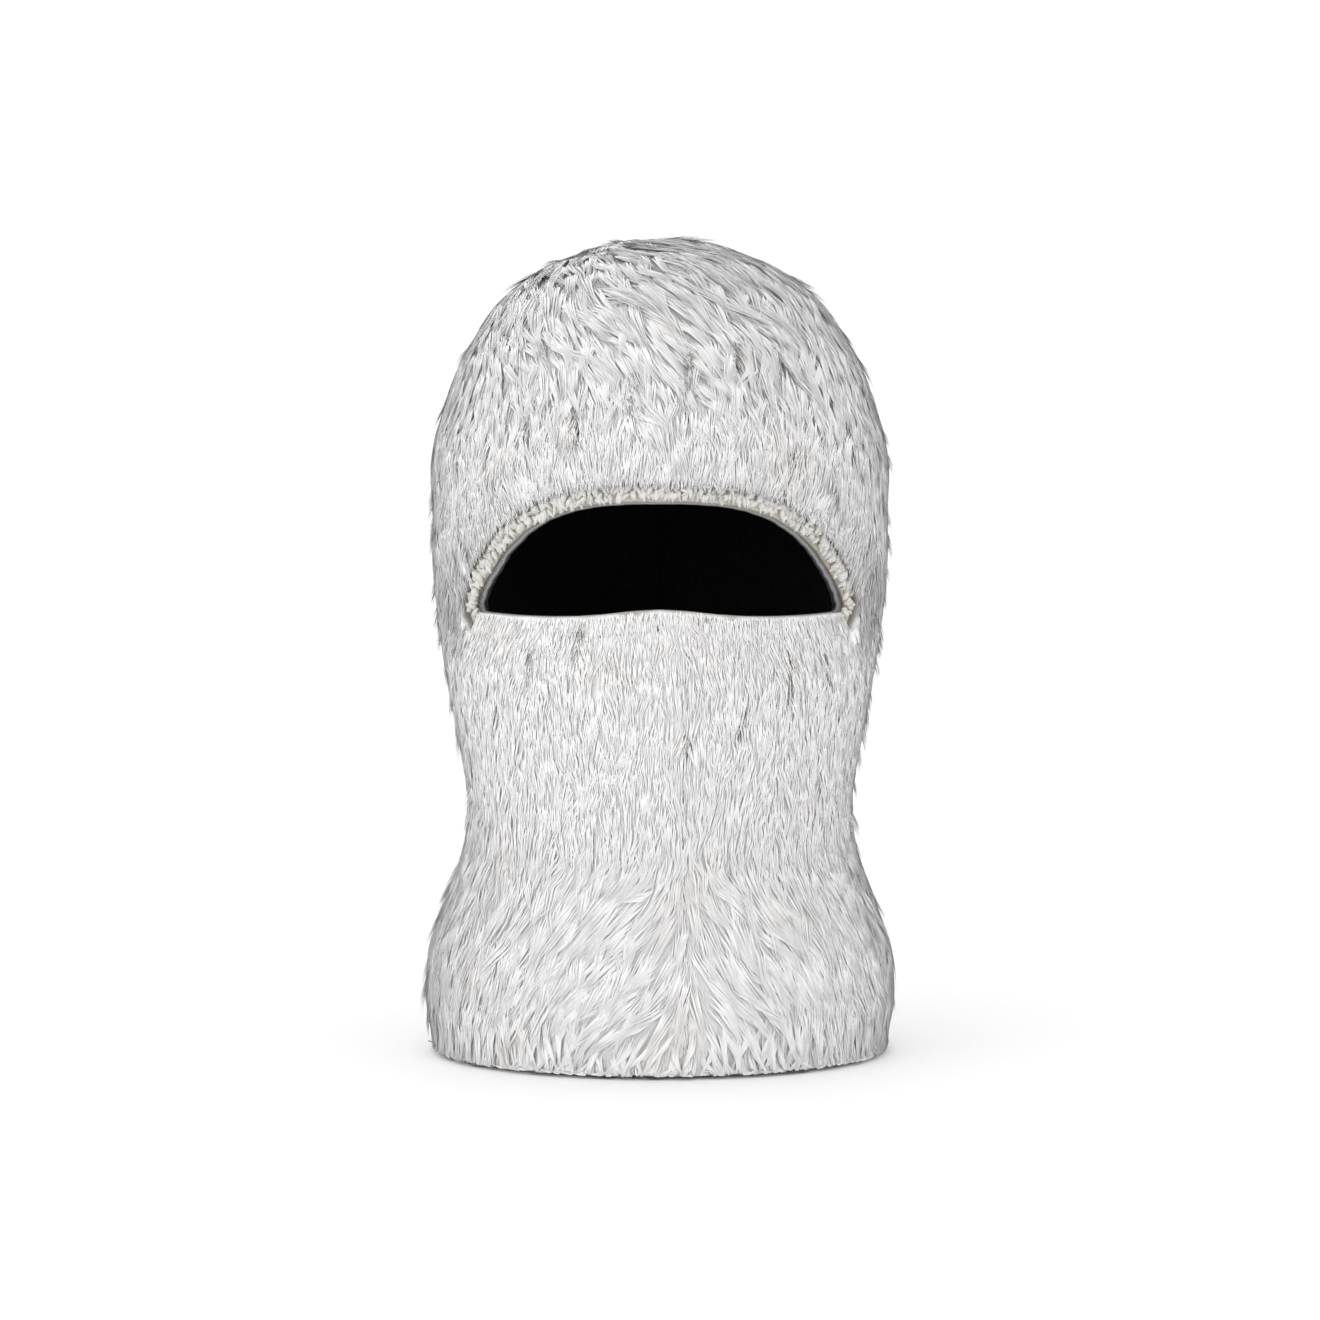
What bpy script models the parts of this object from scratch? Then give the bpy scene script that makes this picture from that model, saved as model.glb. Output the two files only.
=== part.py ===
"""A pull-on fur face mask: a knitted hood with one eye opening, covered in columns of fur.

Metres, +Z up. The origin is the centre of the hem on the ground plane, and the wearer
looks along -Y. Every layer follows one head shape, set back from the fur's outer surface
by an inset: 0 is the tips of the fur, and larger insets lie nearer to the head.
"""

import math

import bmesh
import bpy
from mathutils import Vector

# Overall shape, measured at the tips of the fur.
HOOD_HEIGHT = 0.359
DOME_START = 0.226
DOME_ROUNDNESS = 2.3
# Height, half width, depth in front of the axis and depth behind it.
HEAD_SHAPE = (
    (0.000, 0.0995, 0.0890, 0.0920),
    (0.029, 0.1045, 0.0945, 0.0980),
    (0.052, 0.1010, 0.0890, 0.0940),
    (0.078, 0.0905, 0.0850, 0.0870),
    (0.101, 0.0840, 0.0910, 0.0850),
    (0.132, 0.0880, 0.1010, 0.0920),
    (0.172, 0.0955, 0.1080, 0.1030),
    (0.226, 0.1010, 0.1065, 0.1080),
)

# Layers, from the fur inwards.
GAP = 0.0003
PILE = 0.0120
KNIT_WALL = 0.0018
LINING_WALL = 0.0009
LINING_EASE = 0.0008
LINING_SET_BACK = PILE + KNIT_WALL + LINING_EASE
LINING_SEAM_HALF_ANGLE = math.radians(0.3)
BINDING_WALL = 0.0008
BINDING_REACH = 0.0085
ELASTIC_RADIUS = 0.0010
CLOTH_EDGE = 0.0040

# Fur columns round the head, and the round tuft where they meet.
COLUMNS = 28
SPLIT_EACH_SIDE = 4
COLUMN_CROWN = 0.0035
COLUMN_END_DROP = 0.0020
FUR_SEAM = 0.0005
FUR_LOWEST = 0.0010
CROWN_TUFT_RADIUS = 0.0200
CROWN_TUFT_ROWS = (1.0, 0.66, 0.25)
GATHER_RADIUS = 0.0050
GATHER_THREAD = 0.0011

# Eye opening, as an outline on the unrolled front of the head: an arch over a sill, whose
# sharp corners are kept this radius clear of.
EYE_HALF_ANGLE = math.radians(62.6)
EYE_CORNER_HEIGHT = 0.1950
EYE_CORNER_RADIUS = 0.0015
EYE_RISE = 0.0412
EYE_ARCH_POWER = 3.5
EYE_DIP = 0.0032
NOSE_RISE = 0.0030
NOSE_WIDTH = 0.3
FACE_RADIUS = 0.0930
EYE_SLACK = 0.0010
ARCH_STEPS = 20
SILL_STEPS = 20
CORNER_STEPS = 4
SLOPE_STEP = 0.001

# The braided rim round it.
RIM_INNER = 0.0004
RIM_OUTER = RIM_INNER + 0.0090
RIM_THICKNESS = 0.0052
RIM_SLOPE = RIM_THICKNESS * 0.35
RIM_END_STEP = 0.07
RIM_TO_FUR = 0.0005

# Insets of the eye cutter's rows. Its two ends span the curved face like chords.
CUTTER_ROWS = (-0.150, -0.002, 0.005, 0.011, 0.017, 0.030)

BODY_ROWS = 10
DOME_ROWS = 6
ROW_CLEARANCE = 0.012
COLUMN_ANGLE = math.tau / COLUMNS


def material(name, colour, roughness):
    made = bpy.data.materials.new(name)
    made.use_nodes = True
    shader = made.node_tree.nodes["Principled BSDF"]
    shader.inputs["Base Color"].default_value = (*colour, 1.0)
    shader.inputs["Roughness"].default_value = roughness
    shader.inputs["Metallic"].default_value = 0.0
    made.diffuse_color = (*colour, 1.0)
    return made


def shape_at(height):
    """Half width, front depth and back depth at a height below the dome, on a smooth curve."""
    last = len(HEAD_SHAPE) - 1
    at = 0
    while at < last - 1 and height > HEAD_SHAPE[at + 1][0]:
        at += 1
    low, high = HEAD_SHAPE[at], HEAD_SHAPE[at + 1]
    before = HEAD_SHAPE[max(at - 1, 0)]
    after = HEAD_SHAPE[min(at + 2, last)]
    span = high[0] - low[0]
    t = (height - low[0]) / span
    values = []
    for i in (1, 2, 3):
        slope_low = (high[i] - before[i]) / (high[0] - before[0]) * span
        slope_high = 0.0 if after is high else (after[i] - low[i]) / (after[0] - low[0]) * span
        values.append(
            (2 * t**3 - 3 * t**2 + 1) * low[i]
            + (t**3 - 2 * t**2 + t) * slope_low
            + (3 * t**2 - 2 * t**3) * high[i]
            + (t**3 - t**2) * slope_high
        )
    return values


def head_point(angle, level, inset):
    """A point of the head shape. Angle 0 faces -Y and grows towards +X.

    A level up to 1 climbs from the hem to the dome's start, and from 1 to 2 over the dome.
    """
    if level <= 1.0:
        height = level * DOME_START
        half_width, front, back = shape_at(height)
        shrink = 1.0
    else:
        half_width, front, back = HEAD_SHAPE[-1][1:]
        climb = (level - 1.0) * math.pi / 2
        power = 2 / DOME_ROUNDNESS
        height = DOME_START + (HOOD_HEIGHT - DOME_START - inset) * math.sin(climb) ** power
        shrink = max(math.cos(climb), 0.0) ** power
    depth = front if math.cos(angle) > 0 else back
    x = (half_width - inset) * math.sin(angle) * shrink
    y = -(depth - inset) * math.cos(angle) * shrink
    return (x, y, height)


def level_of(height):
    if height <= DOME_START:
        return height / DOME_START
    part = (height - DOME_START) / (HOOD_HEIGHT - DOME_START)
    return 1.0 + math.asin(part ** (DOME_ROUNDNESS / 2)) / (math.pi / 2)


def dome_level(radius):
    """The level at which a ring of the dome has this radius."""
    power = DOME_ROUNDNESS / 2
    return 1.0 + math.acos((radius / HEAD_SHAPE[-1][1]) ** power) / (math.pi / 2)


def levels_between(lowest, highest):
    """The common rows of every layer that lie between two levels, with those two at the ends."""
    rows = [row / BODY_ROWS for row in range(BODY_ROWS + 1)]
    rows += [1.0 + row / DOME_ROWS for row in range(1, DOME_ROWS)]
    inner = [row for row in rows if lowest + ROW_CLEARANCE < row < highest - ROW_CLEARANCE]
    return [lowest, *inner, highest]


def new_object(name, mesh_source, finish):
    mesh = bpy.data.meshes.new(name)
    bmesh.ops.recalc_face_normals(mesh_source, faces=mesh_source.faces)
    mesh_source.to_mesh(mesh)
    mesh_source.free()
    mesh.shade_smooth()
    mesh.set_sharp_from_angle(angle=math.radians(40))
    made = bpy.data.objects.new(name, mesh)
    bpy.context.scene.collection.objects.link(made)
    mesh.materials.append(finish)
    return made


def skin(source, rows, wrap):
    """Faces over a grid of points, joined round if the rows wrap. Returns the rows of vertices."""
    grid = [[source.verts.new(point) for point in row] for row in rows]
    for low, high in zip(grid, grid[1:]):
        count = len(low)
        for i in range(count if wrap else count - 1):
            j = (i + 1) % count
            source.faces.new((low[i], low[j], high[j], high[i]))
    return grid


def join_sides(source, first, second):
    for i in range(len(first) - 1):
        source.faces.new((first[i], first[i + 1], second[i + 1], second[i]))


def ring_shell(name, outer_rows, inner_rows, finish, capped=False):
    """A closed wall between two surfaces that run all round. Capped closes it over the top."""
    source = bmesh.new()
    outer = skin(source, outer_rows, wrap=True)
    inner = skin(source, inner_rows, wrap=True)
    join_sides(source, outer[0] + outer[0][:1], inner[0] + inner[0][:1])
    if capped:
        source.faces.new(outer[-1])
        source.faces.new(inner[-1])
    else:
        join_sides(source, outer[-1] + outer[-1][:1], inner[-1] + inner[-1][:1])
    return new_object(name, source, finish)


def patch_shell(name, outer_rows, inner_rows, finish):
    """A closed wall between two surfaces with four edges. Their rows may differ in length."""
    source = bmesh.new()
    outer = skin(source, outer_rows, wrap=False)
    inner = skin(source, inner_rows, wrap=False)
    for side in (0, -1):
        join_sides(source, [row[side] for row in outer], [row[side] for row in inner])
    for end in (0, -1):
        if len(outer[end]) == len(inner[end]):
            join_sides(source, outer[end], inner[end])
        else:
            source.faces.new(outer[end] + inner[end][::-1])
    return new_object(name, source, finish)


def ring(level, inset, count=COLUMNS):
    """Points all round the head, the first at the seam between two fur columns."""
    return [head_point(math.tau * (i + 0.5) / count, level, inset) for i in range(count)]


def eye_side(across, upper):
    """A point on the arch or the sill of the eye opening, from one corner (1) to the other (-1)."""
    angle = math.asin(across * math.sin(EYE_HALF_ANGLE))
    if upper:
        rise = EYE_RISE * (1 - abs(across) ** EYE_ARCH_POWER)
    else:
        rise = NOSE_RISE * math.exp(-((across / NOSE_WIDTH) ** 2)) - EYE_DIP * (1 - across**4)
    return (angle * FACE_RADIUS, EYE_CORNER_HEIGHT + rise)


def eye_side_heading(across, upper):
    """Which way the arch or the sill faces away from the opening there, as an angle from +X."""
    first = eye_side(min(across + SLOPE_STEP, 1.0), upper)
    second = eye_side(max(across - SLOPE_STEP, -1.0), upper)
    along, climb = second[0] - first[0], second[1] - first[1]
    return math.atan2(-along, climb) if upper else math.atan2(along, -climb)


def eye_outline(margin):
    """Angle and height of points round the eye opening, moved out over the head by a margin.

    They run from the +X corner over the arch to the other corner and back along the sill.
    """
    spots = []
    for i in range(ARCH_STEPS + 1):
        across = math.cos(math.pi * i / ARCH_STEPS)
        spots.append((eye_side(across, True), eye_side_heading(across, True)))
    for i in range(SILL_STEPS + 1):
        across = -math.cos(math.pi * i / SILL_STEPS)
        spots.append((eye_side(across, False), eye_side_heading(across, False)))
    turned = []
    for (point, heading), (_, following) in zip(spots, spots[1:] + spots[:1]):
        turned.append((point, heading))
        swing = (following - heading) % math.tau
        if len(turned) in (ARCH_STEPS + 1, ARCH_STEPS + SILL_STEPS + CORNER_STEPS + 1):
            for step in range(1, CORNER_STEPS):
                turned.append((point, heading + swing * step / CORNER_STEPS))
    reach = EYE_CORNER_RADIUS + margin
    return [
        ((along + math.cos(heading) * reach) / FACE_RADIUS, height + math.sin(heading) * reach)
        for (along, height), heading in turned
    ]


def eye_ring(margin, inset):
    return [head_point(angle, level_of(height), inset) for angle, height in eye_outline(margin)]


def eye_cutter(margin):
    """A plug along the head's own radii that cuts the eye opening, this margin wider all round."""
    source = bmesh.new()
    grid = skin(source, [eye_ring(margin, inset) for inset in CUTTER_ROWS], wrap=True)
    for loop, inset in ((grid[0], CUTTER_ROWS[0]), (grid[-1], CUTTER_ROWS[-1])):
        middle = head_point(0.0, level_of(EYE_CORNER_HEIGHT + EYE_RISE / 2), inset)
        centre = source.verts.new(middle)
        for vertex, following in zip(loop, loop[1:] + loop[:1]):
            source.faces.new((vertex, following, centre))
    cutter = new_object("eye_cutter", source, None)
    cutter.hide_render = True
    cutter.display_type = "WIRE"
    return cutter


def cut_eye(target, cutter):
    cut = target.modifiers.new("eye_opening", "BOOLEAN")
    cut.operation = "DIFFERENCE"
    cut.solver = "EXACT"
    cut.object = cutter


def knit_base(finish, cutter):
    """The knitted hood that carries everything, one tube gathered to a small hole on top."""
    levels = levels_between(level_of(CLOTH_EDGE), dome_level(GATHER_RADIUS))
    outer = [ring(level, PILE) for level in levels]
    inner = [ring(level, PILE + KNIT_WALL) for level in levels]
    cut_eye(ring_shell("knit_base", outer, inner, finish), cutter)


def lining_half(name, side, finish, cutter):
    """Half of the lining, from the seam over the face to the seam at the back of the head."""
    levels = levels_between(level_of(CLOTH_EDGE), dome_level(GATHER_RADIUS))
    between = [(i + 0.5) * COLUMN_ANGLE for i in range(COLUMNS // 2)]
    ends = (LINING_SEAM_HALF_ANGLE, math.pi - LINING_SEAM_HALF_ANGLE)
    angles = [side * angle for angle in (ends[0], *between, ends[1])]
    walls = []
    for inset in (LINING_SET_BACK, LINING_SET_BACK + LINING_WALL):
        walls.append([[head_point(angle, level, inset) for angle in angles] for level in levels])
    cut_eye(patch_shell(name, *walls, finish), cutter)


def fur_column(name, column, lowest, highest, finish, cutter=None):
    """One column of fur: a long plump strip sewn down along the knit, thin at its two edges."""
    middle = column * COLUMN_ANGLE
    levels = levels_between(lowest, highest)
    hem_step = level_of(BINDING_REACH + 2 * GAP)
    if lowest < hem_step:
        levels[1:1] = [hem_step, hem_step + level_of(GAP)]
    outer, inner = [], []
    for i, level in enumerate(levels):
        reach = head_point(math.pi / 2, level, 0.0)[0]
        half = COLUMN_ANGLE / 2 - FUR_SEAM / 2 / reach
        over_binding = lowest < hem_step and level <= hem_step
        back = PILE - GAP - (BINDING_WALL + GAP if over_binding else 0.0)
        drop = COLUMN_END_DROP if i in (0, len(levels) - 1) else 0.0
        sides = ((-1.0, COLUMN_CROWN), (-0.5, 0.0), (0.5, 0.0), (1.0, COLUMN_CROWN))
        outer.append([head_point(middle + part * half, level, sunk + drop) for part, sunk in sides])
        inner.append([head_point(middle + part * half, level, back) for part in (-1.0, 1.0)])
    strip = patch_shell(name, outer, inner, finish)
    if cutter:
        cut_eye(strip, cutter)


def crown_tuft(finish):
    """The round tuft that hides where the columns meet on top of the head."""
    edge = CROWN_TUFT_RADIUS - FUR_SEAM
    levels = [dome_level(edge * part) for part in CROWN_TUFT_ROWS]
    outer = [ring(level, inset) for level, inset in zip(levels, (COLUMN_END_DROP, 0.0, 0.0))]
    inner = [ring(level, PILE - GAP) for level in levels]
    ring_shell("crown_tuft", outer, inner, finish, capped=True)


def closed_cord(name, points, radius, finish):
    """A round cord that closes on itself, along a smooth run of points."""
    curve = bpy.data.curves.new(name, "CURVE")
    curve.dimensions = "3D"
    curve.bevel_depth = radius
    curve.bevel_resolution = 1
    line = curve.splines.new("POLY")
    line.points.add(len(points) - 1)
    for spot, point in zip(line.points, points):
        spot.co = (*point, 1.0)
    line.use_cyclic_u = True
    curve.materials.append(finish)
    made = bpy.data.objects.new(name, curve)
    bpy.context.scene.collection.objects.link(made)


def crown_gather(finish):
    """The drawn thread that closes the knit and the lining on top."""
    inset = PILE + GAP + GATHER_THREAD
    level = dome_level(GATHER_RADIUS - GATHER_THREAD - 2 * GAP)
    points = ring(level, inset, COLUMNS // 2)
    closed_cord("crown_gather_thread", points, GATHER_THREAD, finish)


def fold_section(slack=0.0):
    """The folded binding's section: depth along the fold and inset, as a U round the cloth edge.

    Slack sets its inner leaf further in, clear of a cloth that curves both ways.
    """
    outside = PILE - GAP
    inside = LINING_SET_BACK + LINING_WALL + GAP + slack
    return (
        (0.0, outside - BINDING_WALL),
        (BINDING_REACH, outside - BINDING_WALL),
        (BINDING_REACH, outside),
        (BINDING_WALL, outside),
        (BINDING_WALL, inside),
        (BINDING_REACH, inside),
        (BINDING_REACH, inside + BINDING_WALL),
        (0.0, inside + BINDING_WALL),
    )


def swept_loop(name, rows, finish):
    """A closed ring whose section runs once round: the first row joins the last."""
    source = bmesh.new()
    grid = skin(source, rows, wrap=True)
    join_sides(source, grid[0] + grid[0][:1], grid[-1] + grid[-1][:1])
    return new_object(name, source, finish)


def hem_binding(finish, elastic_finish):
    """The folded hem, flat where it rests, with its elastic inside the fold."""
    rows = [ring(level_of(height), inset) for height, inset in fold_section()]
    swept_loop("hem_binding", rows, finish)
    middle = (PILE + LINING_SET_BACK + LINING_WALL) / 2
    height = BINDING_WALL + GAP + ELASTIC_RADIUS
    closed_cord("hem_elastic", ring(level_of(height), middle), ELASTIC_RADIUS, elastic_finish)


def eye_binding(finish, elastic_finish):
    """The fold round the eye opening, with its elastic inside."""
    swept_loop("eye_binding", [eye_ring(*spot) for spot in fold_section(EYE_SLACK)], finish)
    middle = (PILE + LINING_SET_BACK + LINING_WALL) / 2
    margin = BINDING_WALL + 2 * GAP + ELASTIC_RADIUS
    closed_cord("eye_elastic", eye_ring(margin, middle), ELASTIC_RADIUS, elastic_finish)


def rim_section():
    """The braided rim's section, a low rounded bar lying on the binding."""
    back = PILE - 2 * GAP - BINDING_WALL
    front = back - RIM_THICKNESS
    return (
        (RIM_INNER, back),
        (RIM_INNER, front + RIM_SLOPE),
        (RIM_INNER + RIM_SLOPE, front),
        (RIM_OUTER - RIM_SLOPE, front),
        (RIM_OUTER, front + RIM_SLOPE),
        (RIM_OUTER, back),
    )


def eye_rim(name, first, last, finish):
    """One braided edge of the eye opening, closed at both ends, between two of its points."""
    rows = []
    for spot in rim_section():
        whole = eye_ring(*spot)
        row = [Vector(whole[i % len(whole)]) for i in range(first, last + 1)]
        row[0] = row[0].lerp(row[1], RIM_END_STEP)
        row[-1] = row[-1].lerp(row[-2], RIM_END_STEP)
        rows.append(row)
    source = bmesh.new()
    grid = skin(source, rows + rows[:1], wrap=False)
    bmesh.ops.remove_doubles(source, verts=[v for row in (grid[0], grid[-1]) for v in row], dist=1e-6)
    bmesh.ops.holes_fill(source, edges=[edge for edge in source.edges if edge.is_boundary], sides=0)
    return new_object(name, source, finish)


def build():
    for old in list(bpy.data.objects):
        bpy.data.objects.remove(old, do_unlink=True)
    white_fur = material("white_fur", (0.78, 0.77, 0.77), 0.85)
    cream_braid = material("cream_braid", (0.74, 0.70, 0.62), 0.85)
    cream_knit = material("cream_knit", (0.62, 0.57, 0.50), 0.90)
    black_jersey = material("black_jersey", (0.012, 0.012, 0.013), 0.92)
    pale_tape = material("pale_tape", (0.58, 0.57, 0.56), 0.70)
    elastic_white = material("elastic_white", (0.70, 0.70, 0.68), 0.60)
    cloth_cutter = eye_cutter(CLOTH_EDGE)
    fur_cutter = eye_cutter(RIM_OUTER + RIM_TO_FUR)
    knit_base(cream_knit, cloth_cutter)
    lining_half("lining_left", -1, black_jersey, cloth_cutter)
    lining_half("lining_right", 1, black_jersey, cloth_cutter)
    hem_binding(pale_tape, elastic_white)
    eye_binding(pale_tape, elastic_white)
    sill_start = ARCH_STEPS + CORNER_STEPS
    eye_rim("upper_eye_rim", -CORNER_STEPS, sill_start, cream_braid)
    eye_rim("lower_eye_rim", sill_start, sill_start + SILL_STEPS, cream_braid)
    crown_gather(elastic_white)
    crown_tuft(white_fur)
    hem = level_of(FUR_LOWEST)
    crown = dome_level(CROWN_TUFT_RADIUS)
    brow = level_of(EYE_CORNER_HEIGHT + FUR_SEAM)
    cheek = level_of(EYE_CORNER_HEIGHT - FUR_SEAM)
    for column in range(-SPLIT_EACH_SIDE, SPLIT_EACH_SIDE + 1):
        number = column + SPLIT_EACH_SIDE + 1
        fur_column(f"brow_fur_{number}", column, brow, crown, white_fur, fur_cutter)
        fur_column(f"cheek_fur_{number}", column, hem, cheek, white_fur, fur_cutter)
    for number in range(1, COLUMNS - 2 * SPLIT_EACH_SIDE):
        column = SPLIT_EACH_SIDE + number
        beside_eye = number in (1, COLUMNS - 2 * SPLIT_EACH_SIDE - 1)
        cutter = fur_cutter if beside_eye else None
        fur_column(f"hood_fur_{number}", column, hem, crown, white_fur, cutter)


build()
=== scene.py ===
import math

import bpy
import numpy as np
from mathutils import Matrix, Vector
from mathutils.bvhtree import BVHTree


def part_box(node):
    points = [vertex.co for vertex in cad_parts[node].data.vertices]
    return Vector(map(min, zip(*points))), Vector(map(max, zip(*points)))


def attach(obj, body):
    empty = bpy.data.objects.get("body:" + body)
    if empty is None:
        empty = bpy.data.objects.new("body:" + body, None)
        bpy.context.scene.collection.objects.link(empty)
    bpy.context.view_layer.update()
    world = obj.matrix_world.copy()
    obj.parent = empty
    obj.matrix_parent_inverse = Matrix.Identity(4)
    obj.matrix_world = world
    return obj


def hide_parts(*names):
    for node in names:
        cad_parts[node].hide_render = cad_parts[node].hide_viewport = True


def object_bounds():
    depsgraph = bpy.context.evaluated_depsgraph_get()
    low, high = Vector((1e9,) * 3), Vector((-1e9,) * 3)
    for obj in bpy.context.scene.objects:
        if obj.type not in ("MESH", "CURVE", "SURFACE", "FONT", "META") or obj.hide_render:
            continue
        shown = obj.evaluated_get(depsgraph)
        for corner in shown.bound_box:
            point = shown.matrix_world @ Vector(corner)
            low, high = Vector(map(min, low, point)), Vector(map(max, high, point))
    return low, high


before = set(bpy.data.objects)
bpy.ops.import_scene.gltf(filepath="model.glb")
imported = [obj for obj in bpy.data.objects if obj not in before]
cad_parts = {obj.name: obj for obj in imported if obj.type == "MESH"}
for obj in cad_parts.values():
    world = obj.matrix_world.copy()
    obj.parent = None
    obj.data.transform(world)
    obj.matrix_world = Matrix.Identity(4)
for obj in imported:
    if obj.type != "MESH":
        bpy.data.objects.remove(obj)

cadLow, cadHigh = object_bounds()
hoodHeight = cadHigh.z
nodeNames = sorted(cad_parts)
furNodes = [name for name in nodeNames if "_fur_" in name] + ["crown_tuft", "lower_eye_rim"]
domeHeight = 0.63 * hoodHeight          # above this the head is followed as a dome
domeReach = 0.12                        # length of one radian of dome, roughly
topLevel = domeHeight + domeReach * math.pi / 2
rayStart, rayLength = 0.16, 0.15         # rays run inwards from outside the fur
pile = cadHigh.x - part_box("knit_base")[1].x     # depth of the fur


def deselectAll():
    for item in bpy.context.selected_objects:
        item.select_set(False)


def makeActive(item):
    deselectAll()
    item.select_set(True)
    bpy.context.view_layer.objects.active = item


def treeOf(names):
    # CAD nodes to cast rays at, and the node that each face belongs to
    points, faces, owners = [], [], []
    for name in names:
        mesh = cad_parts[name].data
        start = len(points)
        points += [vertex.co.copy() for vertex in mesh.vertices]
        faces += [[start + i for i in face.vertices] for face in mesh.polygons]
        owners += [name] * len(mesh.polygons)
    return BVHTree.FromPolygons(points, faces), owners


# the head's own map: an angle round it (0 in front, growing to +X) and a level up it
def ringOf(angle, level):
    # start point and outward direction for a place on the map
    tilt = np.clip((level - domeHeight) / domeReach, 0.0, math.pi / 2)
    start = np.stack([0 * angle, 0 * angle, np.minimum(level, domeHeight)], -1)
    flat = np.cos(tilt)
    out = np.stack([np.sin(angle) * flat, -np.cos(angle) * flat, np.sin(tilt)], -1)
    return start, out


def castIn(tree, angle, level, length):
    # where rays sent inwards from outside the fur first meet the tree
    start, out = ringOf(angle, level)
    far = start + rayStart * out
    return [tree.ray_cast(Vector(spot), Vector(inwards), length) for spot, inwards in zip(far, -out)]


def castMap(tree, angles, levels):
    reach = np.full((len(levels), len(angles)), np.nan)
    for row, level in enumerate(levels):
        hits = castIn(tree, angles, np.full(len(angles), level), rayLength)
        for column, hit in enumerate(hits):
            if hit[0] is not None:
                reach[row, column] = rayStart - hit[3]
    return reach


mapColumns, mapRows = 224, 150
mapAngles = np.linspace(0, math.tau, mapColumns, endpoint=False)
mapLevels = np.linspace(0.0, topLevel, mapRows)
knitTree = treeOf(["knit_base"])[0]
furTree, furOwners = treeOf(furNodes)
eyeTree = treeOf(["eye_binding", "knit_base"])[0]
headMap = castMap(knitTree, mapAngles, mapLevels)


def mendMap(reach):
    # fills the eye opening, the crown's hole and the hem's edge from what lies around them
    reach = reach.copy()
    for turn in range(80):
        hole = np.isnan(reach)
        if not hole.any():
            break
        wide = np.pad(np.pad(reach, ((1, 1), (0, 0)), mode="edge"), ((0, 0), (1, 1)), mode="wrap")
        near = np.stack([wide[:-2, 1:-1], wide[2:, 1:-1], wide[1:-1, :-2], wide[1:-1, 2:]])
        known = ~np.isnan(near)
        total = np.where(known, near, 0).sum(0)
        count = known.sum(0)
        reach = np.where(hole & (count > 0), total / np.maximum(count, 1), reach)
    return reach


def blurMap(reach, turns):
    for turn in range(turns):
        wide = np.pad(np.pad(reach, ((1, 1), (0, 0)), mode="reflect", reflect_type="odd"),
                      ((0, 0), (1, 1)), mode="wrap")
        reach = (wide[:-2, 1:-1] + wide[2:, 1:-1] + wide[1:-1, :-2] + wide[1:-1, 2:]) / 8 + reach / 2
    return reach


headMap = blurMap(mendMap(headMap), 3)
print("head map", round(float(headMap.min()), 4), round(float(headMap.max()), 4))


def readMap(table, angle, level):
    across = (angle / math.tau % 1.0) * mapColumns
    up = np.clip(level / topLevel, 0, 0.9999) * (mapRows - 1)
    c0, r0 = np.floor(across).astype(int), np.floor(up).astype(int)
    fc, fr = across - c0, up - r0
    c0, c1 = c0 % mapColumns, (c0 + 1) % mapColumns
    low = table[r0, c0] * (1 - fc) + table[r0, c1] * fc
    high = table[r0 + 1, c0] * (1 - fc) + table[r0 + 1, c1] * fc
    return low * (1 - fr) + high * fr


def reachAt(angle, level):
    return readMap(headMap, angle, level)


def onHead(angle, level, lift):
    # the point this far above the knit's outer face, at a place on the map
    angle, level, lift = np.broadcast_arrays(*(np.asarray(v, float) for v in (angle, level, lift)))
    start, out = ringOf(angle, level)
    return start + out * (reachAt(angle, level) + lift)[..., None]


def girthAt(angle, level):
    # length of one radian round the head there
    tilt = np.clip((level - domeHeight) / domeReach, 0.0, math.pi / 2)
    return np.maximum(reachAt(angle, level) * np.cos(tilt), 0.004)


def smoothStep(low, high, value):
    t = np.clip((value - low) / (high - low), 0, 1)
    return t * t * (3 - 2 * t)


def waves(points, scale, seed):
    # soft seamless noise from a few crossed sine waves, about -1 to 1
    source = np.random.default_rng(seed)
    total = np.zeros(points.shape[:-1])
    for wave in range(7):
        heading = source.normal(size=3)
        heading /= np.linalg.norm(heading)
        phase = points @ heading * math.tau / scale * source.uniform(0.6, 1.6)
        total += np.sin(phase + source.uniform(0, 6.3))
    return total / 3.2


# outline of the eye opening on the map, found from the fold round it
eyeRay = 0.10                           # short enough to end before the back of the head


def inEye(angle, level):
    return castIn(eyeTree, np.array([angle]), np.array([level]), eyeRay)[0][0] is None


def findEye(steps):
    low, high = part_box("eye_binding")
    middle = (low.z * 0.62 + high.z * 0.38)
    faceGirth = float(girthAt(np.array([0.0]), np.array([middle]))[0])
    outline = []
    for i in range(steps):
        turn = math.tau * i / steps
        near, far = 0.0, 0.13
        for halving in range(16):
            reach = (near + far) / 2
            spot = (reach * math.cos(turn) / faceGirth, middle + reach * math.sin(turn))
            if inEye(*spot):
                near = reach
            else:
                far = reach
        outline.append((near * math.cos(turn), middle + near * math.sin(turn)))
    return np.array(outline), faceGirth


eyeRaw, faceGirth = findEye(720)
lengths = np.r_[0, np.cumsum(np.linalg.norm(np.roll(eyeRaw, -1, 0) - eyeRaw, axis=1))]
eyeLength = float(lengths[-1])
eyeSteps = 480
closedRaw = np.vstack([eyeRaw, eyeRaw[:1]])
even = np.linspace(0, eyeLength, eyeSteps, endpoint=False)
eyeLine = np.stack([np.interp(even, lengths, closedRaw[:, i]) for i in (0, 1)], 1)
for turn in range(4):
    eyeLine = eyeLine / 2 + (np.roll(eyeLine, 1, 0) + np.roll(eyeLine, -1, 0)) / 4
eyeAlong = np.roll(eyeLine, -1, 0) - np.roll(eyeLine, 1, 0)
eyeAlong /= np.linalg.norm(eyeAlong, axis=1)[:, None]
eyeOut = np.stack([eyeAlong[:, 1], -eyeAlong[:, 0]], 1)
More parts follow.
